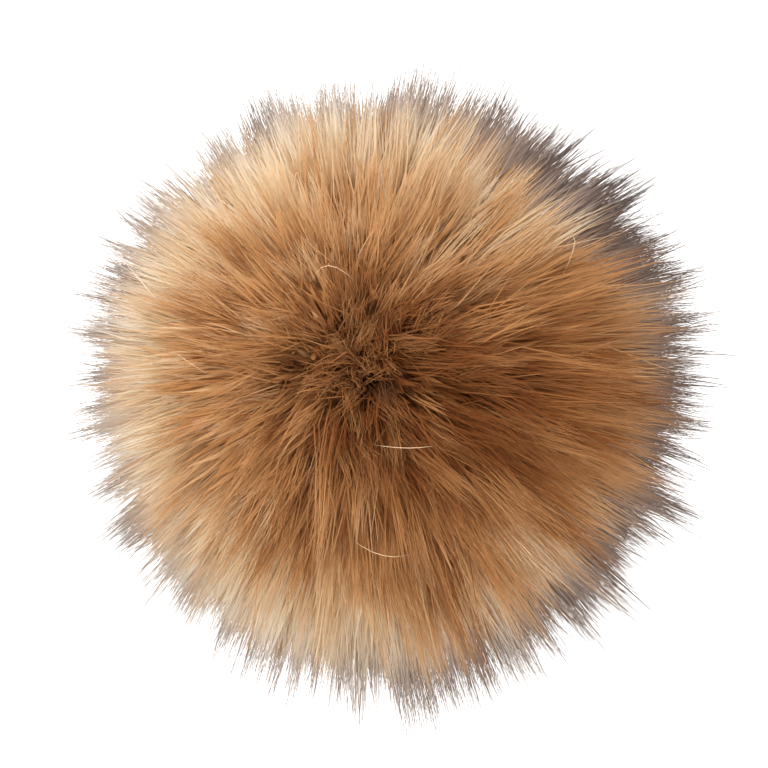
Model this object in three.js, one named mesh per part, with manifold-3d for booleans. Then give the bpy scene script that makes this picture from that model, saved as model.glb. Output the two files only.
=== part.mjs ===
// A long-haired fur pom pom, about 130 mm across the tips. A round of furry cloth is drawn up over its
// filling, so the pile stands out all round a small ball, and the gathered edge closes in a short pleated
// neck below. Millimetres, +Z up. The origin is the middle of the neck's flat end, on the surface that the
// pom pom rests on.

import * as THREE from "three";
import { ConvexGeometry } from "three/addons/geometries/ConvexGeometry.js";
import { mergeVertices } from "three/addons/utils/BufferGeometryUtils.js";
import Module from "manifold-3d";

// Driving dimensions.
const tipDiameter = 130; // across the outermost tips
const ballDiameter = 58; // the cloth drawn up over its filling
const restHeight = 38; // from the surface up to the ball's middle
const napOffset = new THREE.Vector3(4.3, -3.9, 0); // how far the pile leans to one side at its tips

// The pile, as locks that stand apart. Lengths are in millimetres, angles in degrees from the crown.
const locks = {
  count: 300,
  lastAngle: 157, // the row next to the neck
  sides: 4,
  rootRadius: 2.25, // from a lock's middle to its corners, where it is fused into the ball
  shortest: 0.93, // shares of the full pile length
  longest: 1.05,
  underShare: 0.52, // share of its length that a lock beside the neck keeps
  sway: 0.9, // how far a lock bows to the side
  tipSpread: 1, // how far a tip strays from its place
  clearOfSurface: 0.85, // share of its height above the surface that a section may fill
};

// Sections of a lock above its root, up to the point that is its tip.
const lockSections = [
  { along: 0.42, radius: 3.5 },
  { along: 0.76, radius: 2.7 },
];

// The gathered neck, as rows from inside the ball down to its flat end.
const pleats = { count: 12, depth: 0.7 };
const neckRows = [
  { height: 14, radius: 6.6 },
  { height: 5, radius: 6.6 },
  { height: 1, radius: 8.2 },
  { height: 0, radius: 8.0 },
];

const ballRadius = ballDiameter / 2;
const pileLength = (tipDiameter - ballDiameter) / 2;
const ballCentre = new THREE.Vector3(0, 0, restHeight);
const deepestReach = (tipDiameter / 2) * -Math.cos(THREE.MathUtils.degToRad(locks.lastAngle)) - restHeight;
const up = new THREE.Vector3(0, 0, 1);
const goldenTurn = Math.PI * (3 - Math.sqrt(5));

// A number from 0 to 1, always the same for the same lock and purpose.
const purposes = ["length", "strayX", "strayY", "strayZ", "sway"];
const chance = (lock, purpose) =>
  THREE.MathUtils.seededRandom(lock * purposes.length + purposes.indexOf(purpose));

// Evenly spaced directions, which wind down from the crown to the last row.
function lockDirection(lock) {
  const lowest = Math.cos(THREE.MathUtils.degToRad(locks.lastAngle));
  const height = 1 - ((lock + 0.5) / locks.count) * (1 - lowest);
  const across = Math.sqrt(1 - height * height);
  const turn = lock * goldenTurn;
  return new THREE.Vector3(across * Math.cos(turn), across * Math.sin(turn), height);
}

// Where a lock ends. One that would reach below the surface is shorter, and its tip rests on the surface.
function lockTip(lock, direction, root) {
  const full = direction.clone().multiplyScalar(pileLength).add(napOffset);
  const stray = (purpose) => locks.tipSpread * (2 * chance(lock, purpose) - 1);
  const belowSurface = -(root.z + full.z);
  if (belowSurface < 0) {
    const share = THREE.MathUtils.lerp(locks.shortest, locks.longest, chance(lock, "length"));
    const tip = root.clone().addScaledVector(full, share);
    tip.add(new THREE.Vector3(stray("strayX"), stray("strayY"), stray("strayZ")));
    return tip.setZ(Math.max(tip.z, 0));
  }
  const kept = full.length() * THREE.MathUtils.lerp(1, locks.underShare, belowSurface / deepestReach);
  const across = Math.sqrt(kept * kept - root.z * root.z);
  const run = full.setZ(0).setLength(across);
  return new THREE.Vector3(root.x + run.x + stray("strayX"), root.y + run.y + stray("strayY"), 0);
}

// The rings of corners of one lock, from its root on the ball to its last section, and its tip.
function lockRings(lock) {
  const direction = lockDirection(lock);
  const root = ballCentre.clone().addScaledVector(direction, ballRadius);
  const tip = lockTip(lock, direction, root);
  const axis = tip.clone().sub(root).normalize();
  const swayDirection = new THREE.Vector3().crossVectors(axis, up).normalize();
  const slimness = Math.min(1, root.distanceTo(tip) / pileLength);
  const sway = locks.sway * slimness * (2 * chance(lock, "sway") - 1);

  const corner = (turn, middle, radius, along) => {
    const sideways = new THREE.Vector3().crossVectors(up, direction).normalize();
    const upward = new THREE.Vector3().crossVectors(direction, sideways);
    const out = sideways.multiplyScalar(Math.cos(turn)).addScaledVector(upward, Math.sin(turn));
    if (along > 0) out.addScaledVector(axis, -out.dot(axis)).normalize();
    return middle.clone().addScaledVector(out, radius);
  };
  const turns = Array.from({ length: locks.sides }, (_, i) => ((i + 0.5) / locks.sides) * 2 * Math.PI);

  const rootRing = turns.map((turn) => {
    const onCap = corner(turn, direction.clone(), locks.rootRadius / ballRadius, 0).normalize();
    return ballCentre.clone().addScaledVector(onCap, ballRadius);
  });
  const rings = lockSections.map(({ along, radius }) => {
    const middle = root.clone().lerp(tip, along);
    middle.addScaledVector(swayDirection, sway * Math.sin(Math.PI * along));
    const fits = Math.min(radius * slimness, locks.clearOfSurface * middle.z);
    return turns.map((turn) => corner(turn, middle, fits, along));
  });
  return { rings: [rootRing, ...rings], tip };
}

// A corner is known again by its place, as the 32-bit numbers that a geometry holds.
const placeOf = (point) => [point.x, point.y, point.z].map(Math.fround).join(" ");

// The ball's skin between the locks: the hull of all root corners, without the patches that the roots cover.
function skinTriangles(allRings) {
  const lockAt = new Map();
  const corners = [];
  allRings.forEach(({ rings }, lock) =>
    rings[0].forEach((point) => {
      lockAt.set(placeOf(point), lock);
      corners.push(point);
    }),
  );
  const hull = new ConvexGeometry(corners).getAttribute("position");
  const triangles = [];
  for (let first = 0; first < hull.count; first += 3) {
    const triangle = [0, 1, 2].map((i) => new THREE.Vector3().fromBufferAttribute(hull, first + i));
    const [a, b, c] = triangle.map((point) => lockAt.get(placeOf(point)));
    if (a !== b || b !== c) triangles.push(triangle);
  }
  return triangles;
}

// The walls of one lock, ring by ring, and the faces that close it at its tip.
function lockTriangles({ rings, tip }) {
  const triangles = [];
  rings.forEach((ring, row) => {
    const next = rings[row + 1];
    ring.forEach((point, i) => {
      const j = (i + 1) % ring.length;
      if (next) {
        triangles.push([point, ring[j], next[j]], [point, next[j], next[i]]);
      } else {
        triangles.push([point, ring[j], tip]);
      }
    });
  });
  return triangles;
}

function closedGeometry(triangles) {
  const geometry = new THREE.BufferGeometry().setFromPoints(triangles.flat());
  return mergeVertices(geometry, 1e-3);
}

function neckGeometry() {
  const profile = neckRows.map(({ height, radius }) => new THREE.Vector2(radius, height));
  profile.unshift(new THREE.Vector2(0, neckRows[0].height));
  profile.push(new THREE.Vector2(0, 0));
  const geometry = new THREE.LatheGeometry(profile.reverse(), 2 * pleats.count);
  geometry.rotateX(Math.PI / 2);
  geometry.deleteAttribute("normal");
  geometry.deleteAttribute("uv");
  const merged = mergeVertices(geometry, 1e-3);

  // Every other edge is drawn in, so the neck has pleats.
  const position = merged.getAttribute("position");
  for (let i = 0; i < position.count; i += 1) {
    const across = Math.hypot(position.getX(i), position.getY(i));
    if (across < 1) continue;
    const step = Math.round((Math.atan2(position.getY(i), position.getX(i)) * pleats.count) / Math.PI);
    const drawnIn = step % 2 === 0 ? 1 : 1 - pleats.depth / across;
    position.setXY(i, position.getX(i) * drawnIn, position.getY(i) * drawnIn);
  }
  return merged;
}

const wasm = await Module();
wasm.setup();

function solidOf(geometry) {
  return new wasm.Manifold(
    new wasm.Mesh({
      numProp: 3,
      vertProperties: geometry.getAttribute("position").array,
      triVerts: new Uint32Array(geometry.index.array),
    }),
  );
}

function geometryOf(solid) {
  const mesh = solid.getMesh();
  const geometry = new THREE.BufferGeometry();
  geometry.setAttribute("position", new THREE.BufferAttribute(mesh.vertProperties, mesh.numProp));
  geometry.setIndex(new THREE.BufferAttribute(mesh.triVerts, 1));
  return geometry;
}

const allRings = Array.from({ length: locks.count }, (_, lock) => lockRings(lock));
const furGeometry = closedGeometry([...skinTriangles(allRings), ...allRings.flatMap(lockTriangles)]);
const furBall = new THREE.Mesh(
  geometryOf(solidOf(furGeometry).add(solidOf(neckGeometry()))),
  new THREE.MeshStandardMaterial({ color: 0xa8743f, roughness: 0.85, metalness: 0 }),
);
furBall.name = "fur_ball";

const pomPom = new THREE.Group();
pomPom.add(furBall);

export default pomPom;
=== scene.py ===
import math

import bpy
import numpy as np
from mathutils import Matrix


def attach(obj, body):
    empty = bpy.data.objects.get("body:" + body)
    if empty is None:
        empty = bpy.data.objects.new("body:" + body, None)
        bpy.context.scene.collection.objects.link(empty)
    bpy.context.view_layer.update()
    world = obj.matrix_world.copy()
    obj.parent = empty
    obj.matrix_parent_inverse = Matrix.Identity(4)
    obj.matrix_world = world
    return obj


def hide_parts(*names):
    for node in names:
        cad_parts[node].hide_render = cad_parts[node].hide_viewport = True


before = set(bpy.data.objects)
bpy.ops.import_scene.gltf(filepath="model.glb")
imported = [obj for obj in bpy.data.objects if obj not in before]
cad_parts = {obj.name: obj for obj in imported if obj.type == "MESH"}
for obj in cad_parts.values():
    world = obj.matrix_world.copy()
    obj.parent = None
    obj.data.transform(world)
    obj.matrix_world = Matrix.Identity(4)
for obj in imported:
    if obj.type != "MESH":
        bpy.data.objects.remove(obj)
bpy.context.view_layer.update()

# the pom pom as a whole, in metres
pomPom = {
    "ballRadius": 0.029,  # cloth drawn up over its filling
    "ballMiddle": (0.0, 0.0, 0.038),
    "tipReach": 0.065,  # from the ball's middle to the outermost tips
    "furthestReach": (1.27, 0.05),  # of a hair, as a share of the usual length, and how uneven that is
    "lean": (0.0043, -0.0039, 0.0),  # how far the tips lie over to one side
    "combed": 19,  # degrees that the pile is combed out from its whorl, and up from below
    "tousled": 1.2,  # how much more the pile is ruffled at its whorl
    "tousledWithin": 26,  # degrees from the crown over which that fades
    "lastAngle": 157,  # degrees from the crown to the hairs beside the neck
    "lowest": (0.0003, 0.0022),  # heights between which a tip comes to rest on the table
    "restHeight": 0.0004,  # height down to which such a hair's run is worked out
    "restSpread": 0.86,  # share of its run that the shortest resting hair keeps
    "towardsNeck": (105, 150),  # degrees from the crown between which girths change to those at the neck
    "restShare": 0.52,  # share of its length that a hair beside the neck keeps
    "mostShortened": 1.2,  # how far that goes on past the hairs beside the neck
    "steepest": 0.3,  # least share of its length by which a resting hair runs outwards
    "fewFlyaway": 8,  # the higher, the fewer hairs fly away
    "fewOutgrown": 10,  # the higher, the fewer hairs outgrow their wisp
    "bowRun": 0.9,  # share of half a wave that a hair bows by, so that its tip swings a little too
}


def say(words):
    print(f"pom pom: {words}")


def deselectAll():
    for obj in bpy.context.selected_objects:
        obj.select_set(False)


def unit(vectors):
    return vectors / np.linalg.norm(vectors, axis=-1, keepdims=True)


def mix(a, b, share):
    return a + (b - a) * share


def smoothStep(low, high, values):
    share = np.clip((values - low) / (high - low), 0, 1)
    return share * share * (3 - 2 * share)


def degreesFromCrown(directions):
    return np.degrees(np.arccos(np.clip(directions[:, 2], -1, 1)))


# share of the hair from root to tip, then the colours of a chestnut, a golden and a cream hair
furColours = {
    "base": (0.0, (0.040, 0.015, 0.008), (0.110, 0.045, 0.020), (0.200, 0.110, 0.055)),
    "root": (0.10, (0.170, 0.052, 0.014), (0.400, 0.170, 0.060), (0.580, 0.340, 0.170)),
    "shaft": (0.30, (0.220, 0.067, 0.016), (0.500, 0.220, 0.076), (0.720, 0.460, 0.245)),
    "belly": (0.55, (0.270, 0.086, 0.022), (0.590, 0.275, 0.100), (0.830, 0.580, 0.325)),
    "pale": (0.78, (0.290, 0.108, 0.036), (0.640, 0.350, 0.160), (0.890, 0.735, 0.545)),
    "grey": (0.88, (0.150, 0.090, 0.068), (0.370, 0.260, 0.200), (0.680, 0.565, 0.480)),
    "tip": (1.0, (0.062, 0.042, 0.038), (0.140, 0.098, 0.084), (0.340, 0.275, 0.245)),
}

streaks = {
    "fineness": (160, 3, 1),  # across the tones, and along the hair
    "detail": 2.0,
}


def addBands(nodes, links, hairMap):
    # a ramp for each column of colours, blended by tone: 0 is the first, 0.5 the second and 1 the third
    split = nodes.new("ShaderNodeSeparateXYZ")
    links.new(hairMap, split.inputs[0])
    ramps = []
    for column in (1, 2, 3):
        ramp = nodes.new("ShaderNodeValToRGB")
        elements = ramp.color_ramp.elements
        bands = list(furColours.values())
        while len(elements) < len(bands):
            elements.new(0.5)
        for element, band in zip(elements, bands):
            element.position = band[0]
            element.color = (*band[column], 1)
        links.new(split.outputs["Y"], ramp.inputs["Fac"])
        ramps.append(ramp)
    tone = None
    for ramp, low in ((ramps[1], 0.0), (ramps[2], 0.5)):
        share = nodes.new("ShaderNodeMapRange")
        share.inputs["From Min"].default_value = low
        share.inputs["From Max"].default_value = low + 0.5
        links.new(split.outputs["X"], share.inputs["Value"])
        blend = nodes.new("ShaderNodeMix")
        blend.data_type = "RGBA"
        links.new(share.outputs["Result"], blend.inputs["Factor"])
        links.new(tone.outputs["Result"] if tone else ramps[0].outputs["Color"], blend.inputs["A"])
        links.new(ramp.outputs["Color"], blend.inputs["B"])
        tone = blend
    return tone.outputs["Result"]


def addStreaks(nodes, links, hairMap, streakStrength):
    # each hair is a little lighter or darker than its neighbour: 1, give or take the strength
    stretch = nodes.new("ShaderNodeMapping")
    stretch.inputs["Scale"].default_value = streaks["fineness"]
    links.new(hairMap, stretch.inputs["Vector"])
    noise = nodes.new("ShaderNodeTexNoise")
    noise.noise_dimensions = "2D"
    noise.inputs["Scale"].default_value = 1.0
    noise.inputs["Detail"].default_value = streaks["detail"]
    links.new(stretch.outputs["Vector"], noise.inputs["Vector"])
    swing = nodes.new("ShaderNodeMath")
    swing.operation = "MULTIPLY_ADD"
    swing.inputs[1].default_value = 2.0
    swing.inputs[2].default_value = -1.0
    links.new(noise.outputs["Fac"], swing.inputs[0])
    strength = nodes.new("ShaderNodeMath")
    strength.operation = "MULTIPLY_ADD"
    strength.inputs[2].default_value = 1.0
    links.new(swing.outputs[0], strength.inputs[0])
    links.new(streakStrength, strength.inputs[1])
    return strength.outputs[0]


def makeHairBands():
    # hair colour from a map with the tone across and the place along the hair upwards
    group = bpy.data.node_groups.new("hairBands", "ShaderNodeTree")
    group.interface.new_socket("Hair Map", in_out="INPUT", socket_type="NodeSocketVector")
    group.interface.new_socket("Streaks", in_out="INPUT", socket_type="NodeSocketFloat")
    group.interface.new_socket("Color", in_out="OUTPUT", socket_type="NodeSocketColor")
    nodes, links = group.nodes, group.links
    groupIn = nodes.new("NodeGroupInput")
    groupOut = nodes.new("NodeGroupOutput")
    hairMap = groupIn.outputs["Hair Map"]
    scaled = nodes.new("ShaderNodeVectorMath")
    scaled.operation = "SCALE"
    links.new(addBands(nodes, links, hairMap), scaled.inputs[0])
    links.new(addStreaks(nodes, links, hairMap, groupIn.outputs["Streaks"]), scaled.inputs["Scale"])
    links.new(scaled.outputs["Vector"], groupOut.inputs["Color"])
    return group


furFinishes = {
    "longFur": {"streaks": 0.05, "roughness": 0.7, "specular": 0.08},
    "lockFur": {"streaks": 0.25, "roughness": 0.75, "specular": 0.08},
}


def makeFurMaterial(name, bands):
    finish = furFinishes[name]
    material = bpy.data.materials.new(name)
    material.use_nodes = True
    nodes, links = material.node_tree.nodes, material.node_tree.links
    shader = nodes["Principled BSDF"]
    hairMap = nodes.new("ShaderNodeUVMap")
    hairMap.uv_map = "OFBake"
    colour = nodes.new("ShaderNodeGroup")
    colour.node_tree = bands
    colour.inputs["Streaks"].default_value = finish["streaks"]
    links.new(hairMap.outputs["UV"], colour.inputs["Hair Map"])
    links.new(colour.outputs["Color"], shader.inputs["Base Color"])
    shader.inputs["Roughness"].default_value = finish["roughness"]
    shader.inputs["Specular IOR Level"].default_value = finish["specular"]
    return material


# one hair and one lock, each modelled once and copied
hair = {
    "sides": 3,
    "rings": ((0.56, 1.0),),  # share of its length and width of each ring: thickest past its middle
    "flat": 1.0,
    "mapWidth": 0.004,  # width on its colour map
    "rolled": 0.2,  # how far its flat may be turned away from the light
    "softShade": 0.95,  # share of its shading that follows the pile's round surface
}

lock = {
    "sides": 4,
    "rings": ((0.12, 0.70), (0.42, 1.0), (0.74, 0.62)),
    "flat": 0.55,  # its depth as a share of its width
    "mapWidth": 0.05,
    "rolled": 0.25,
    "softShade": 0.8,
}

onRing = 1e-3  # how near to a ring's height its corners lie, on a strand of unit length


def selectVertices(obj, wanted):
    # wanted is a test of a place
    bpy.ops.mesh.select_all(action="DESELECT")
    bpy.ops.object.mode_set(mode="OBJECT")
    for vertex in obj.data.vertices:
        vertex.select = wanted(vertex.co)
    bpy.ops.object.mode_set(mode="EDIT")


def readStrand(obj, settings):
    # its corners as (section, place across), and its faces as corner numbers
    corners = np.array([vertex.co[:] for vertex in obj.data.vertices])
    heights = np.array([0, *(height for height, width in settings["rings"]), 1])
    section = np.abs(corners[:, 2:] - heights).argmin(axis=1)
    faces = [list(face.vertices) for face in obj.data.polygons]
    across = corners[:, :2]
    return {"heights": heights, "section": section, "across": across, "faces": faces, **settings}


def modelStrand(name, settings):
    # a closed spindle of unit length: a point at the root, rings along it, and a point at the tip
    deselectAll()
    bpy.ops.mesh.primitive_cone_add(
        vertices=settings["sides"], radius1=1, radius2=0, depth=1, location=(0, 0, 0.5))
    obj = bpy.context.object
    obj.name = name
    bpy.ops.object.transform_apply(location=True, rotation=True, scale=True)
    bpy.ops.object.mode_set(mode="EDIT")
    for height, width in settings["rings"]:
        bpy.ops.mesh.select_all(action="SELECT")
        bpy.ops.mesh.bisect(plane_co=(0, 0, height), plane_no=(0, 0, 1))
    for height, width in settings["rings"]:
        selectVertices(obj, lambda place: abs(place.z - height) < onRing)
        swell = width / (1 - height)
        bpy.ops.transform.resize(
            value=(swell, swell * settings["flat"], 1), center_override=(0, 0, height))
    selectVertices(obj, lambda place: place.z < onRing)
    bpy.ops.mesh.merge(type="CENTER")
    bpy.ops.mesh.select_all(action="SELECT")
    bpy.ops.mesh.normals_make_consistent(inside=False)
    bpy.ops.mesh.quads_convert_to_tris()
    bpy.ops.object.mode_set(mode="OBJECT")
    shape = readStrand(obj, settings)
    bpy.data.objects.remove(obj, do_unlink=True)
    return shape


def windRound(count, lastAngle, crowded=1.0):
    # evenly spaced directions, winding down from the crown, where they may stand closer
    share = ((np.arange(count) + 0.5) / count) ** crowded
    height = 1 - (1 - math.cos(math.radians(lastAngle))) * share
    across = np.sqrt(1 - height**2)
    turn = np.arange(count) * math.pi * (3 - math.sqrt(5))
    return np.stack([across * np.cos(turn), across * np.sin(turn), height], axis=1)


def strayFrom(directions, spread, rng):
    return unit(directions + rng.normal(size=directions.shape) * np.reshape(spread, (-1, 1)))


speck = 1e-9  # keeps a direction from having no length


def comb(directions):
    # the pile lies away from its whorl on top, and away from the table below
    lean = np.array(pomPom["lean"])
    whorl = unit(-lean / (pomPom["tipReach"] - pomPom["ballRadius"]) + (0, 0, 1))
    cosine = np.clip(directions @ whorl, -1, 1)[:, None]
    angle = np.arccos(cosine)
    outward = unit(directions - whorl * cosine + speck)
    angle = angle + math.radians(pomPom["combed"]) * np.sin(2 * angle) * np.sin(angle)
    return whorl * np.cos(angle) + outward * np.sin(angle)


def tousle(directions):
    # how much more the hairs lie every way near the whorl
    away = degreesFromCrown(directions) / pomPom["tousledWithin"]
    return 1 + pomPom["tousled"] * np.exp(-(away**2))


def endOfHair(root, towards, reachShare, rng):
    # where a hair ends; one that would reach below the table is shorter and comes to rest on it
    lean = np.array(pomPom["lean"])
    fullLength = pomPom["tipReach"] - pomPom["ballRadius"]
    middle = np.array(pomPom["ballMiddle"])
    full = towards * fullLength + lean
    tip = root + (middle + towards * pomPom["ballRadius"] - root) + full * reachShare[:, None]
    below = -(middle[2] + towards[:, 2] * pomPom["ballRadius"] + full[:, 2])
    deepest = -pomPom["tipReach"] * math.cos(math.radians(pomPom["lastAngle"])) - middle[2]
    shortened = np.clip(below / deepest, 0, pomPom["mostShortened"])
    restLength = fullLength * mix(1.0, pomPom["restShare"], shortened)
    drop = root[:, 2] - pomPom["restHeight"]
    leastRun = pomPom["steepest"] * restLength
    across = np.sqrt(np.maximum(restLength**2 - drop**2, leastRun**2))
    run = unit(full * (1, 1, 0))
    rested = root + run * (across * mix(pomPom["restSpread"], 1.0, rng.random(len(root))))[:, None]
    rested[:, 2] = rng.uniform(*pomPom["lowest"], len(root))
    return np.where((below > 0)[:, None], rested, tip)


def growHairs(settings, rng):
    # clumps hold wisps, and wisps hold hairs: each level draws its hairs together towards their tips
    clumps = settings["clumps"]
    perClump = settings["wispsPerClump"]
    perWisp = settings["hairsPerWisp"]
    middle = np.array(pomPom["ballMiddle"])
    evenly = windRound(clumps, pomPom["lastAngle"], settings["crowded"])
    clumpAt = strayFrom(evenly, settings["clumpStray"], rng)
    clumpTo = strayFrom(comb(clumpAt), settings["clumpLean"] * tousle(clumpAt), rng)
    long = rng.random(clumps) ** settings["fewLong"]
    clumpReach = mix(*settings["clumpReach"], long)
    atWhorl = (tousle(clumpAt) - 1) / pomPom["tousled"]
    clumpReach = clumpReach * mix(1.0, settings["whorlReach"], atWhorl)

    owner = np.repeat(np.arange(clumps), perClump)
    width = settings["clumpWidth"] * (1 - settings["slim"] * long)
    wispAt = strayFrom(clumpAt[owner], width[owner], rng)
    gather = rng.uniform(*settings["clumpGather"], len(owner))
    gather = mix(gather, 1.0, long[owner] * settings["tufted"])[:, None]
    wispOwn = unit(comb(wispAt) + (clumpTo - comb(clumpAt))[owner])
    wispTo = strayFrom(mix(wispOwn, clumpTo[owner], gather), settings["wispLean"], rng)
    wispLong = rng.random(len(owner)) ** settings["fewLong"]
    wispReach = clumpReach[owner] * mix(*settings["wispReach"], wispLong)

    wisp = np.repeat(np.arange(len(owner)), perWisp)
    hairAt = strayFrom(wispAt[wisp], settings["wispWidth"], rng)
    gather = rng.uniform(*settings["wispGather"], len(wisp))[:, None]
    hairOwn = unit(comb(hairAt) + (wispTo - comb(wispAt))[wisp])
    astray = rng.random(len(wisp)) ** pomPom["fewFlyaway"]
    lean = settings["hairLean"] * (1 + settings["flyaway"] * astray)
    hairTo = strayFrom(mix(hairOwn, wispTo[wisp], gather), lean, rng)
    reach = wispReach[wisp] * rng.uniform(*settings["hairReach"], len(wisp))
    reach = reach * (1 + settings["outgrown"] * rng.random(len(wisp)) ** pomPom["fewOutgrown"])
    longest, uneven = pomPom["furthestReach"]
    reach = np.minimum(reach, longest - uneven * rng.random(len(wisp)))

    root = middle + hairAt * (pomPom["ballRadius"] - settings["sunk"])
    ownTip = endOfHair(root, hairOwn, reach, rng)
    tip = endOfHair(root, hairTo, reach, rng)
    return {
        "root": root, "ownTip": ownTip, "tip": tip, "at": hairAt, "to": hairTo,
        "clump": owner[wisp], "wisp": wisp, "count": len(wisp), "reach": reach, "settings": settings,
    }


def bendHairs(hairs, heights, rng):
    # middle line of each hair at the strand's sections
    settings = hairs["settings"]
    along = np.asarray(heights)[None, :, None]
    root, ownTip, tip = (hairs[key][:, None, :] for key in ("root", "ownTip", "tip"))
    straight = mix(root, ownTip, along)
    drawn = mix(root, tip, along)
    line = mix(straight, drawn, along ** settings["gatherLate"])
    length = np.linalg.norm(hairs["tip"] - hairs["root"], axis=1)
    bow = rng.normal(size=(hairs["count"], 1, 3)) * settings["bow"] * length[:, None, None]
    line = line + bow * np.sin(math.pi * along * pomPom["bowRun"])
    wave = rng.normal(size=(hairs["count"], len(heights), 3)) * settings["wave"]
    wave[:, 0] = 0
    line = line + wave
    line[:, 1:, 2] = np.maximum(line[:, 1:, 2], pomPom["lowest"][0])
    return line


# soft patches of lighter, darker and dark-tipped fur: partly the fur's own tone, partly painted light and
# shade, lighter on the upper left towards the lamp and darker on the right
# azimuth counts from +X towards +Y and fromCrown from straight up, each with how far it spreads, in degrees
toneAndPaintedLightPatches = [
    {"azimuth": (-40, 900), "fromCrown": (0, 18), "tone": -0.20, "banding": -0.10, "darkTips": 0.0},
    # painted light as well as paler fur: lighter on the upper left, the lamp's side
    {"azimuth": (140, 95), "fromCrown": (70, 18), "tone": 0.62, "banding": -0.06, "darkTips": 0.0},
    {"azimuth": (95, 34), "fromCrown": (41, 13), "tone": 0.18, "banding": 0.0, "darkTips": 0.0},
    # painted shade as well as darker fur: darker on the right, away from the lamp
    {"azimuth": (-12, 52), "fromCrown": (32, 23), "tone": -0.23, "banding": -0.03, "darkTips": 0.0},
    {"azimuth": (-10, 60), "fromCrown": (76, 16), "tone": -0.04, "banding": 0.05, "darkTips": 0.06},
    {"azimuth": (-45, 30), "fromCrown": (64, 22), "tone": 0.32, "banding": 0.06, "darkTips": 0.06},
    {"azimuth": (262, 25), "fromCrown": (68, 16), "tone": 0.36, "banding": -0.03, "darkTips": 0.0},
    {"azimuth": (232, 28), "fromCrown": (60, 16), "tone": 0.36, "banding": -0.05, "darkTips": 0.0},
    {"azimuth": (48, 26), "fromCrown": (41, 16), "tone": 0.32, "banding": 0.0, "darkTips": 0.0},
    {"azimuth": (125, 85), "fromCrown": (24, 14), "tone": 0.13, "banding": 0.0, "darkTips": 0.0},
    {"azimuth": (165, 40), "fromCrown": (19, 8), "tone": 0.12, "banding": 0.03, "darkTips": 0.0},
    {"azimuth": (190, 32), "fromCrown": (33, 11), "tone": 0.06, "banding": 0.0, "darkTips": 0.0},
    {"azimuth": (200, 50), "fromCrown": (128, 18), "tone": 0.16, "banding": -0.06, "darkTips": 0.0},
    {"azimuth": (10, 45), "fromCrown": (120, 18), "tone": 0.20, "banding": 0.0, "darkTips": 0.0},
    {"azimuth": (100, 35), "fromCrown": (125, 16), "tone": -0.18, "banding": 0.0, "darkTips": 0.1},
    {"azimuth": (46, 22), "fromCrown": (75, 16), "tone": -0.28, "banding": 0.18, "darkTips": 0.20},
]

colouring = {
    "toneRange": (0.06, 0.88),  # before each clump, wisp and hair differs from it
    "darkTufts": 0.2,  # share of the clumps about the whorl that are dark
    "patchesRunDown": 2.2,  # how many times further a patch spreads down the side than up
    "longFrom": 0.9,  # reach past which a hair has more of the dark tip
    "lateTips": 1.4,  # the higher, the nearer to the tip a dark-tipped patch darkens
    "bandingRange": (0.05, 1.4),
    "lastPlace": (0.975, 0.02),  # on the colour bands, and how far it still moves on along the hair
}


def colourMap(hairs, heights, rng):
    # tone (dark to blond, with the patches' painted light and shade) of each hair, and its place on the
    # colour bands at each section
    settings = hairs["settings"]
    to = hairs["to"]
    count = hairs["count"]
    tone = np.full(count, settings["tone"])
    fromCrown = degreesFromCrown(to)
    atRim = smoothStep(*settings["rimAt"], fromCrown)
    banding = mix(*settings["banding"], atRim)
    banding += atRim * settings["longTips"] * np.maximum(hairs["reach"] - colouring["longFrom"], 0)
    darkTips = np.zeros(count)
    azimuth = np.degrees(np.arctan2(to[:, 1], to[:, 0]))
    for patch in toneAndPaintedLightPatches:
        turned = (azimuth - patch["azimuth"][0] + 180) % 360 - 180
        down = fromCrown - patch["fromCrown"][0]
        spread = patch["fromCrown"][1] * np.where(down > 0, colouring["patchesRunDown"], 1.0)
        near = np.exp(-((turned / patch["azimuth"][1]) ** 2) - (down / spread) ** 2)
        # the patches' tone carries painted light and shade as well as the fur's own colour
        tone += near * patch["tone"]
        banding += near * patch["banding"]
        darkTips += near * patch["darkTips"]
    # a few tufts about the whorl keep the dark of their roots all along
    darkTuft = rng.random(hairs["clump"].max() + 1) < colouring["darkTufts"]
    fading = (tousle(to) - 1) / pomPom["tousled"]
    banding = mix(banding, 0.0, fading**2 * darkTuft[hairs["clump"]])
    tone = np.clip(tone, *colouring["toneRange"])
    owners = (hairs["clump"], hairs["wisp"], np.arange(count))
    for owner, toneSpread, bandSpread in zip(owners, settings["toneSpread"], settings["bandingSpread"]):
        tone += toneSpread * rng.normal(size=owner.max() + 1)[owner]
        banding += bandSpread * rng.normal(size=owner.max() + 1)[owner]
    along = np.asarray(heights)[None, :]
    early = settings["darkTips"] * darkTips[:, None] * np.sin(math.pi * along ** colouring["lateTips"])
    phase = along * np.clip(banding, *colouring["bandingRange"])[:, None] + early
    lastPlace, movesOn = colouring["lastPlace"]
    return tone, np.clip(phase, 0.0, lastPlace + movesOn * along)


insideMap = 0.99  # share of its width on the colour map that a strand takes up


def acrossStrand(lines, shape, rng):
    # the way from each hair's middle line to each corner of the strand, for a strand of half width 1
    axis = unit(lines[:, -1] - lines[:, 0])
    # its flat is turned outwards and up
    outward = unit(lines[:, -1] - np.array(pomPom["ballMiddle"])) + (0, 0, 1)
    outward = outward + rng.normal(size=axis.shape) * shape["rolled"]
    side = unit(np.cross(axis, outward))
    other = np.cross(axis, side)
    across = shape["across"]
    return axis, across[None, :, :1] * side[:, None, :] + across[None, :, 1:] * other[:, None, :]


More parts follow.
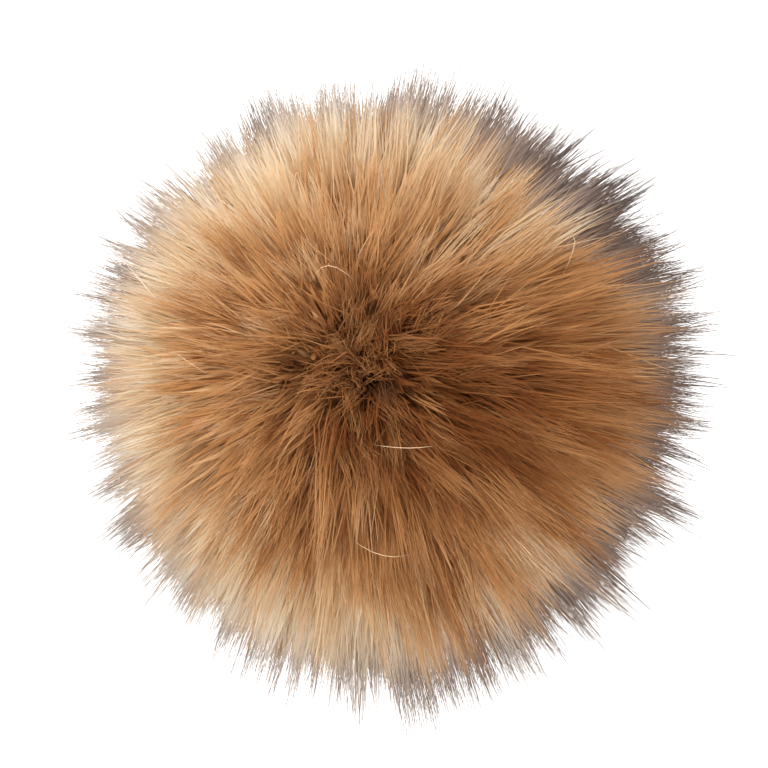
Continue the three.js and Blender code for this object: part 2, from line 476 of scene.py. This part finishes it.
def fillMesh(mesh, places, shape):
    # every strand has the corners and faces of the one that was modelled
    count, corners = places.shape[:2]
    faceSizes = np.array([len(face) for face in shape["faces"]])
    loops = np.concatenate([np.array(face) for face in shape["faces"]])
    loopCorners = (np.arange(count)[:, None] * corners + loops[None, :]).ravel()
    allSizes = np.tile(faceSizes, count)
    starts = np.concatenate([[0], np.cumsum(allSizes)[:-1]])
    mesh.vertices.add(count * corners)
    mesh.vertices.foreach_set("co", places.astype(np.float32).ravel())
    mesh.loops.add(len(loopCorners))
    mesh.loops.foreach_set("vertex_index", loopCorners.astype(np.int32))
    mesh.polygons.add(len(allSizes))
    mesh.polygons.foreach_set("loop_start", starts.astype(np.int32))
    mesh.polygons.foreach_set("loop_total", allSizes.astype(np.int32))
    return loops


def fillMap(mesh, loops, tone, phase, shape):
    # tone across, place along the hair upwards; every face keeps some width on the map
    step = np.sign(np.round(shape["across"][:, 0], 3)) / 2
    halfWidth = shape["mapWidth"] / 2
    aside = step[loops][None, :] * shape["mapWidth"] * insideMap
    u = np.clip(tone, halfWidth, 1 - halfWidth)[:, None] + aside
    v = phase[:, shape["section"][loops]]
    mesh.uv_layers.new(name="OFBake")
    uv = np.stack([u, np.clip(v, 0, 1)], axis=2)
    mesh.uv_layers["OFBake"].data.foreach_set("uv", uv.astype(np.float32).ravel())


def shadeRound(mesh, places, axis, offset, shape):
    # the pile takes the light as one soft round
    ringed = (shape["section"] > 0) & (shape["section"] < len(shape["heights"]) - 1)
    own = np.where(ringed[None, :, None], offset, axis[:, None, :])
    away = unit(places - np.array(pomPom["ballMiddle"]))
    normals = unit(mix(own, away, shape["softShade"]))
    mesh.normals_split_custom_set_from_vertices(normals.reshape(-1, 3).tolist())


def weaveMesh(name, lines, thickness, tone, phase, shape, rng):
    # one mesh of many strands: every corner of the strand is placed along every hair
    axis, offset = acrossStrand(lines, shape, rng)
    places = lines[:, shape["section"]] + offset * thickness[:, None, None]
    mesh = bpy.data.meshes.new(name)
    loops = fillMesh(mesh, places, shape)
    fillMap(mesh, loops, tone, phase, shape)
    mesh.update(calc_edges=True)
    mesh.validate()
    mesh.shade_smooth()
    shadeRound(mesh, places, axis, offset, shape)
    obj = bpy.data.objects.new(name, mesh)
    bpy.context.collection.objects.link(obj)
    return obj


# the layers of fur from the ball outwards, in metres
# a pair is the least and the most, and a clump's reach is a share of the usual length
# stray, lean and width say how far directions differ, in radians
underLocks = {
    "seed": 11,
    "clumps": 900,
    "wispsPerClump": 4,
    "hairsPerWisp": 1,
    "crowded": 1.0,  # above 1, clumps stand closer at the crown
    "sunk": 0.001,  # depth of the roots in the cloth
    "clumpStray": 0.03,  # of its place
    "clumpLean": 0.08,  # of its direction
    "clumpReach": (0.60, 0.78),
    "whorlReach": 0.7,  # share of that reach at the whorl
    "fewLong": 1.0,  # the higher, the fewer clumps and wisps are long
    "clumpWidth": 0.04,  # how far its wisps stand apart
    "slim": 0.0,  # how much narrower a long clump is
    "clumpGather": (0.0, 0.4),  # how far its wisps are drawn together at their tips
    "tufted": 0.0,  # how much further those of a long clump are
    "wispLean": 0.06,
    "wispReach": (0.85, 1.0),  # share of its clump's
    "wispWidth": 0.0,  # how far its hairs stand apart
    "wispGather": (1.0, 1.0),
    "hairLean": 0.0,
    "flyaway": 0.0,  # how many times more a few hairs lean
    "hairReach": (1.0, 1.0),  # share of its wisp's
    "outgrown": 0.0,  # how much further a few hairs reach
    "gatherLate": 1.2,  # the higher, the nearer to their tips hairs draw together
    "bow": 0.04,  # share of its length
    "wave": 0.0003,
    "girth": (0.0010, 0.0015),  # half its width
    "neckGirth": 0.4,  # share of its girth beside the neck
    "tone": 0.27,  # 0 is chestnut, 0.5 golden and 1 cream
    "toneSpread": (0.06, 0.06, 0.0),  # by clump, wisp and hair
    "banding": (0.58, 0.66),  # how far on the colour bands its tip comes, on top and at the rim
    "bandingSpread": (0.0, 0.03, 0.0),
    "rimAt": (50, 80),  # degrees from the crown between which the rim sets in
    "longTips": 0.0,  # how much further on the bands the tip of a long one comes
    "darkTips": 0.0,  # how much of a patch's dark tips it has
    "pieces": 1,  # sectors round the ball, to keep each under the limit of triangles
}

bodyLocks = {
    "seed": 17,
    "clumps": 1600,
    "wispsPerClump": 5,
    "hairsPerWisp": 1,
    "crowded": 1.0,
    "sunk": 0.0008,
    "clumpStray": 0.03,
    "clumpLean": 0.06,
    "clumpReach": (0.68, 0.88),
    "whorlReach": 0.5,
    "fewLong": 1.0,
    "clumpWidth": 0.04,
    "slim": 0.0,
    "clumpGather": (0.0, 0.6),
    "tufted": 0.0,
    "wispLean": 0.03,
    "wispReach": (0.88, 1.0),
    "wispWidth": 0.0,
    "wispGather": (1.0, 1.0),
    "hairLean": 0.0,
    "flyaway": 0.0,
    "hairReach": (1.0, 1.0),
    "outgrown": 0.0,
    "gatherLate": 1.4,
    "bow": 0.035,
    "wave": 0.0003,
    "girth": (0.0005, 0.0008),
    "neckGirth": 0.5,
    "tone": 0.31,
    "toneSpread": (0.07, 0.10, 0.0),
    "banding": (0.68, 0.86),
    "bandingSpread": (0.02, 0.03, 0.0),
    "rimAt": (50, 76),
    "longTips": 0.5,
    "darkTips": 0.5,
    "pieces": 1,
}

guardHair = {
    "seed": 23,
    "clumps": 2400,
    "wispsPerClump": 4,
    "hairsPerWisp": 10,
    "crowded": 1.15,
    "sunk": 0.0006,
    "clumpStray": 0.03,
    "clumpLean": 0.06,
    "clumpReach": (0.75, 1.15),
    "whorlReach": 0.94,
    "fewLong": 2.0,
    "clumpWidth": 0.034,
    "slim": 0.5,
    "clumpGather": (0.1, 0.8),
    "tufted": 0.7,
    "wispLean": 0.02,
    "wispReach": (0.84, 1.20),
    "wispWidth": 0.014,
    "wispGather": (0.7, 1.0),
    "hairLean": 0.008,
    "flyaway": 7.0,
    "hairReach": (0.82, 1.0),
    "outgrown": 0.2,
    "gatherLate": 1.6,
    "bow": 0.03,
    "wave": 0.0003,
    "girth": (0.00012, 0.00018),
    "neckGirth": 1.25,
    "tone": 0.32,
    "toneSpread": (0.14, 0.09, 0.01),
    "banding": (0.76, 0.96),
    "bandingSpread": (0.03, 0.05, 0.02),
    "rimAt": (54, 76),
    "longTips": 1.55,
    "darkTips": 1.0,
    "pieces": 3,
}


def makeFur(name, settings, material, shape):
    pieces = settings["pieces"]
    rng = np.random.default_rng(settings["seed"])
    hairs = growHairs(settings, rng)
    lines = bendHairs(hairs, shape["heights"], rng)
    tone, phase = colourMap(hairs, shape["heights"], rng)
    thickness = rng.uniform(*settings["girth"], hairs["count"])
    nearNeck = smoothStep(*pomPom["towardsNeck"], degreesFromCrown(hairs["at"]))
    thickness *= mix(1.0, settings["neckGirth"], nearNeck)
    turn = np.arctan2(hairs["at"][:, 1], hairs["at"][:, 0]) / (2 * math.pi)
    sector = np.floor((turn % 1) * pieces).astype(int)
    made = []
    for number in range(pieces):
        some = sector == number
        pieceName = name if pieces == 1 else f"{name}{number + 1}"
        obj = weaveMesh(pieceName, lines[some], thickness[some], tone[some], phase[some], shape, rng)
        obj.data.materials.append(material)
        made.append(obj)
        say(f"{pieceName}: {some.sum()} strands, {len(obj.data.loop_triangles)} triangles")
    return made


strayHair = {
    "sides": 3,
    "rings": ((0.14, 0.7), (0.32, 0.95), (0.5, 1.0), (0.68, 0.9), (0.86, 0.6)),
    "flat": 1.0,
    "mapWidth": 0.004,
    "rolled": 0.2,
    "softShade": 0.95,
    "seed": 5,
    "count": 7,
    "lastAngle": 50,
    "scatter": 0.15,
    "lift": 0.925,  # of the reach of the outermost tips
    "dip": 0.005,  # how far both ends dive into the pile
    "bow": 0.0012,
    "length": (0.007, 0.013),
    "girth": (0.00005, 0.00008),
    "tone": 0.78,
    "phase": 0.72,
    "palestAt": 0.4,  # share of its length from where it grows darker both ways
    "darkerBy": 0.06,
    "lying": {"azimuth": -75, "fromCrown": 10.5, "length": 0.013},  # one that lies along X
}


def makeStrays(name, settings, material, shape):
    # a few loose pale hairs caught on the pile
    rng = np.random.default_rng(settings["seed"])
    count = settings["count"]
    up = strayFrom(windRound(count, settings["lastAngle"]), settings["scatter"], rng)
    along = unit(np.cross(up, rng.normal(size=up.shape)))
    length = rng.uniform(*settings["length"], count)
    azimuth = math.radians(settings["lying"]["azimuth"])
    down = math.radians(settings["lying"]["fromCrown"])
    up[0] = (math.cos(azimuth) * math.sin(down), math.sin(azimuth) * math.sin(down), math.cos(down))
    along[0] = (math.cos(down), 0, -math.sin(down) * math.cos(azimuth))
    length[0] = settings["lying"]["length"]
    tipsMiddle = np.array(pomPom["ballMiddle"]) + np.array(pomPom["lean"])
    crest = tipsMiddle + up * pomPom["tipReach"] * settings["lift"]
    fromMiddle = (shape["heights"] - 0.5)[None, :, None]
    sideways = np.cross(up, along) * (settings["bow"] * rng.normal(size=count))[:, None]
    bent = (2 * fromMiddle) ** 2
    lines = crest[:, None] + along[:, None] * length[:, None, None] * fromMiddle
    lines = lines - up[:, None] * settings["dip"] * bent + sideways[:, None] * bent
    thickness = rng.uniform(*settings["girth"], count)
    tone = np.full(count, settings["tone"])
    fromPalest = np.tile(np.abs(shape["heights"] - settings["palestAt"]), (count, 1))
    phase = settings["phase"] - settings["darkerBy"] * fromPalest
    obj = weaveMesh(name, lines, thickness, tone, phase, shape, rng)
    obj.data.materials.append(material)
    say(f"{name}: {count} hairs")
    return obj


# the ball of gathered cloth
ball = {
    "radius": 0.0285,  # just under the hair roots
    "segments": 72,
    "rings": 36,
    "openAt": 152,  # degrees from the crown where the ball ends and its gathers begin
    "pleats": 12,
    # height, radius and depth of pleat of each ring of the neck
    "neck": (
        (0.0098, 0.0108, 0.06),
        (0.0066, 0.0080, 0.10),
        (0.0042, 0.0070, 0.13),
        (0.0018, 0.0076, 0.14),
        (0.0002, 0.0077, 0.14),
    ),
    "insets": (0.002, 0.003),  # rings across the flat end
    "gathers": 0.035,  # depth of the folds where they start to run up into the ball
    "gathersFade": (1.0, 0.75, 0.5, 0.25),  # share of that depth, ring by ring
    "ringBand": 0.0002,  # how near a vertex of a ring lies to its height
    "edgeBand": 0.00001,
    "foldFrom": 0.6,  # cosine past which a vertex is part of a fold or of a valley
}


def readBack(obj):
    # the mesh as it is after the last edit
    bpy.ops.object.mode_set(mode="OBJECT")
    bpy.ops.object.mode_set(mode="EDIT")
    return obj.data.vertices


def pleatRing(obj, height, depth):
    # pushes the folds of one ring out and draws the valleys between them in
    def wave(place):
        return math.cos(ball["pleats"] * math.atan2(place.y, place.x))

    for sign in (1, -1):
        selectVertices(obj, lambda place: abs(place.z - height) < ball["ringBand"]
                       and sign * wave(place) > ball["foldFrom"])
        swell = 1 + sign * depth
        bpy.ops.transform.resize(value=(swell, swell, 1), center_override=(0, 0, height))


def makeBall():
    middle = pomPom["ballMiddle"]
    deselectAll()
    bpy.ops.mesh.primitive_uv_sphere_add(
        segments=ball["segments"], ring_count=ball["rings"], radius=ball["radius"], location=middle)
    obj = bpy.context.object
    obj.name = "clothBall"
    bpy.ops.object.transform_apply(location=True, rotation=True, scale=True)
    bpy.ops.object.mode_set(mode="EDIT")
    bpy.context.tool_settings.mesh_select_mode = (True, False, False)
    openHeight = middle[2] + ball["radius"] * math.cos(math.radians(ball["openAt"]))
    selectVertices(obj, lambda place: place.z < openHeight)
    bpy.ops.mesh.delete(type="VERT")

    # the open edge is drawn in and down, ring by ring, to the flat end of the neck
    edgeHeight = min(vertex.co.z for vertex in readBack(obj))
    selectVertices(obj, lambda place: place.z < edgeHeight + ball["edgeBand"])
    edge = [vertex.co for vertex in readBack(obj) if vertex.co.z < edgeHeight + ball["edgeBand"]]
    lastHeight = edgeHeight
    lastRadius = max(math.hypot(place.x, place.y) for place in edge)
    for height, radius, depth in ball["neck"]:
        bpy.ops.mesh.extrude_region_move(TRANSFORM_OT_translate={"value": (0, 0, height - lastHeight)})
        shrink = radius / lastRadius
        bpy.ops.transform.resize(value=(shrink, shrink, 1), center_override=(0, 0, height))
        lastHeight = height
        lastRadius = radius
    bpy.ops.mesh.edge_face_add()
    for width in ball["insets"]:
        bpy.ops.mesh.inset(thickness=width)
    bpy.ops.mesh.poke()
    for height, radius, depth in ball["neck"]:
        pleatRing(obj, height, depth)

    # shallow folds run up from the gathers into the ball and fade out
    heights = {round(vertex.co.z, 5) for vertex in readBack(obj)}
    ringHeights = sorted(height for height in heights if height > edgeHeight - ball["edgeBand"])
    for height, share in zip(ringHeights, ball["gathersFade"]):
        pleatRing(obj, height, ball["gathers"] * share)
    bpy.ops.mesh.select_all(action="SELECT")
    bpy.ops.mesh.normals_make_consistent(inside=False)
    bpy.ops.object.mode_set(mode="OBJECT")
    rounded = obj.modifiers.new("rounded", "SUBSURF")
    rounded.levels = 1
    rounded.render_levels = 1
    bpy.ops.object.modifier_apply(modifier=rounded.name)
    bpy.ops.object.shade_smooth()
    return obj


cloth = {
    "loopScale": 1100,  # knitted loops to the metre
    "patchScale": 160,
    "loopColour": (0.26, 0.12, 0.045),
    # painted shade: the darker colour of the gaps between loops, and how far from a loop's middle it is
    # reached
    "gapShadeColour": (0.12, 0.05, 0.018),
    "gapShadeFrom": 0.7,
    "worn": 0.4,
    "bump": 0.6,
    "bumpDepth": 0.0003,
    "roughness": 0.95,
    "specular": 0.15,
}


def makeClothMaterial():
    # knitted backing cloth, with its loops standing up a little and painted shade darkening the gaps
    # between them
    material = bpy.data.materials.new("furCloth")
    material.use_nodes = True
    nodes, links = material.node_tree.nodes, material.node_tree.links
    shader = nodes["Principled BSDF"]
    place = nodes.new("ShaderNodeTexCoord")
    loops = nodes.new("ShaderNodeTexVoronoi")
    loops.inputs["Scale"].default_value = cloth["loopScale"]
    links.new(place.outputs["Object"], loops.inputs["Vector"])
    patches = nodes.new("ShaderNodeTexNoise")
    patches.inputs["Scale"].default_value = cloth["patchScale"]
    links.new(place.outputs["Object"], patches.inputs["Vector"])
    # painted shade: the colour darkens towards the gaps between the loops
    ramp = nodes.new("ShaderNodeValToRGB")
    ramp.color_ramp.elements[0].color = (*cloth["loopColour"], 1)
    ramp.color_ramp.elements[1].position = cloth["gapShadeFrom"]
    ramp.color_ramp.elements[1].color = (*cloth["gapShadeColour"], 1)
    links.new(loops.outputs["Distance"], ramp.inputs["Fac"])
    worn = nodes.new("ShaderNodeMix")
    worn.data_type = "RGBA"
    worn.blend_type = "MULTIPLY"
    worn.inputs["Factor"].default_value = cloth["worn"]
    links.new(ramp.outputs["Color"], worn.inputs["A"])
    links.new(patches.outputs["Fac"], worn.inputs["B"])
    links.new(worn.outputs["Result"], shader.inputs["Base Color"])
    bump = nodes.new("ShaderNodeBump")
    bump.inputs["Strength"].default_value = cloth["bump"]
    bump.inputs["Distance"].default_value = cloth["bumpDepth"]
    bump.invert = True
    links.new(loops.outputs["Distance"], bump.inputs["Height"])
    links.new(bump.outputs["Normal"], shader.inputs["Normal"])
    shader.inputs["Roughness"].default_value = cloth["roughness"]
    shader.inputs["Specular IOR Level"].default_value = cloth["specular"]
    return material


paleFloor = {
    "size": 6.0,
    "colour": (0.9, 0.9, 0.9),
    "roughness": 0.9,
    "glow": 0.5,  # it shines a little, as a light table does
}


def makeFloor():
    deselectAll()
    bpy.ops.mesh.primitive_plane_add(size=paleFloor["size"], location=(0, 0, 0))
    floor = bpy.context.object
    floor.name = "floor"
    paint = bpy.data.materials.new("paleFloor")
    paint.use_nodes = True
    shader = paint.node_tree.nodes["Principled BSDF"]
    shader.inputs["Base Color"].default_value = (*paleFloor["colour"], 1)
    shader.inputs["Roughness"].default_value = paleFloor["roughness"]
    shader.inputs["Emission Color"].default_value = (1, 1, 1, 1)
    shader.inputs["Emission Strength"].default_value = paleFloor["glow"]
    floor.data.materials.append(paint)


light = {
    "skyStrength": 1.6,
    "power": 7.0,
    "place": (-0.55, 0.65, 1.1),
    "size": 0.9,
}


def makeLight():
    world = bpy.data.worlds.new("studioAir")
    world.use_nodes = True
    background = world.node_tree.nodes["Background"]
    background.inputs["Color"].default_value = (1, 1, 1, 1)
    background.inputs["Strength"].default_value = light["skyStrength"]
    bpy.context.scene.world = world
    softBox = bpy.data.lights.new("softBox", "AREA")
    softBox.energy = light["power"]
    softBox.size = light["size"]
    obj = bpy.data.objects.new("softBox", softBox)
    bpy.context.collection.objects.link(obj)
    obj.location = light["place"]
    aim = np.array(pomPom["ballMiddle"]) - np.array(light["place"])
    tilt = math.acos(-aim[2] / np.linalg.norm(aim))
    obj.rotation_euler = (tilt, 0, math.atan2(aim[1], aim[0]) - math.pi / 2)


camera = {
    "above": (0.00244, -0.00225),  # the point that the lens looks straight down on
    "distance": 0.8,  # from the lens to the ball's widest round
    "viewWidth": 0.1584,  # what the frame takes in at that distance
    "sensor": 36.0,
}


def makeCamera():
    lens = bpy.data.cameras.new("lens")
    lens.sensor_width = camera["sensor"]
    lens.lens = camera["sensor"] * camera["distance"] / camera["viewWidth"]
    lens.dof.use_dof = False
    obj = bpy.data.objects.new("lens", lens)
    bpy.context.collection.objects.link(obj)
    obj.location = (*camera["above"], pomPom["ballMiddle"][2] + camera["distance"])
    bpy.context.scene.camera = obj


bpy.context.scene.view_settings.view_transform = "Standard"
makeFloor()
makeLight()
makeCamera()
say("studio ready")

bands = makeHairBands()
furMaterial = makeFurMaterial("longFur", bands)
lockMaterial = makeFurMaterial("lockFur", bands)

hairShape = modelStrand("hair", hair)
lockShape = modelStrand("lock", lock)

clothBall = makeBall()
clothBall.data.materials.append(makeClothMaterial())
say("ball ready")

fur = makeFur("underLocks", underLocks, lockMaterial, lockShape)
fur += makeFur("bodyLocks", bodyLocks, lockMaterial, lockShape)
fur += makeFur("guardHair", guardHair, furMaterial, hairShape)
fur.append(makeStrays("strayHairs", strayHair, furMaterial, modelStrand("strayHair", strayHair)))

for piece in [clothBall, *fur]:
    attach(piece, "root")
    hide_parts("fur_ball")
